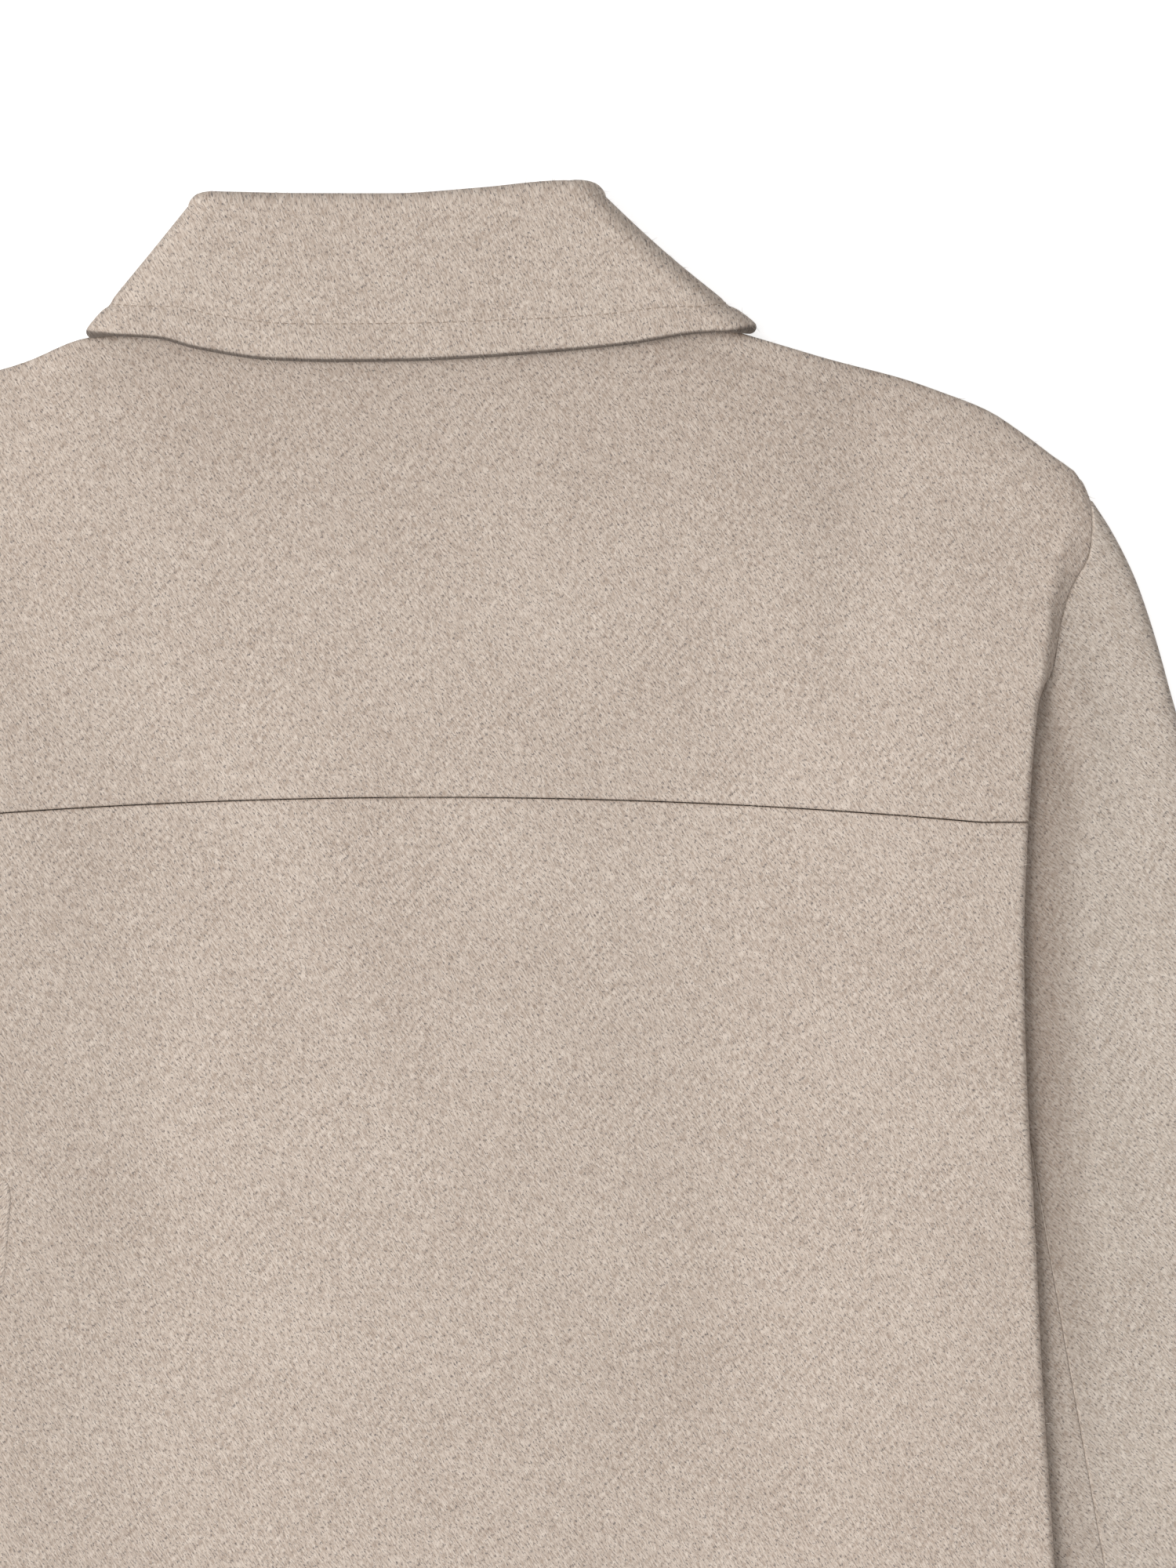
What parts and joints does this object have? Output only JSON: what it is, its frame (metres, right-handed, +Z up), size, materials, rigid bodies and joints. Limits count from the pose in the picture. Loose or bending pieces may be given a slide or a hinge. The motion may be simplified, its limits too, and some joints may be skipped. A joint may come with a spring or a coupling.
{
  "type": "wool shirt jacket",
  "caption": "Wool shirt jacket laid flat with its back up: folded shirt collar, back yoke, long sleeves beside the body and a buttoned front underneath.",
  "frame": {"origin": "on the surface the jacket lies on, under the middle of its outline", "axes": "+Z up from the surface, +Y toward the collar, +X toward the wearer's right side"},
  "size_m": [0.742, 0.7324, 0.0202],
  "materials": {
    "wool": "brushed melange wool twill with a soft nap",
    "button": "satin horn-look resin"
  },
  "bodies": {
    "root": {"back_panel": "wool", "back_yoke": "wool", "front_left": "wool", "front_right": "wool", "sleeve_left_upper": "wool", "sleeve_left_under": "wool", "sleeve_right_upper": "wool", "sleeve_right_under": "wool", "collar_stand": "wool", "collar_leaf": "wool", "button_1": "button", "button_2": "button", "button_3": "button", "button_4": "button", "button_5": "button"}
  },
  "joints": []
}
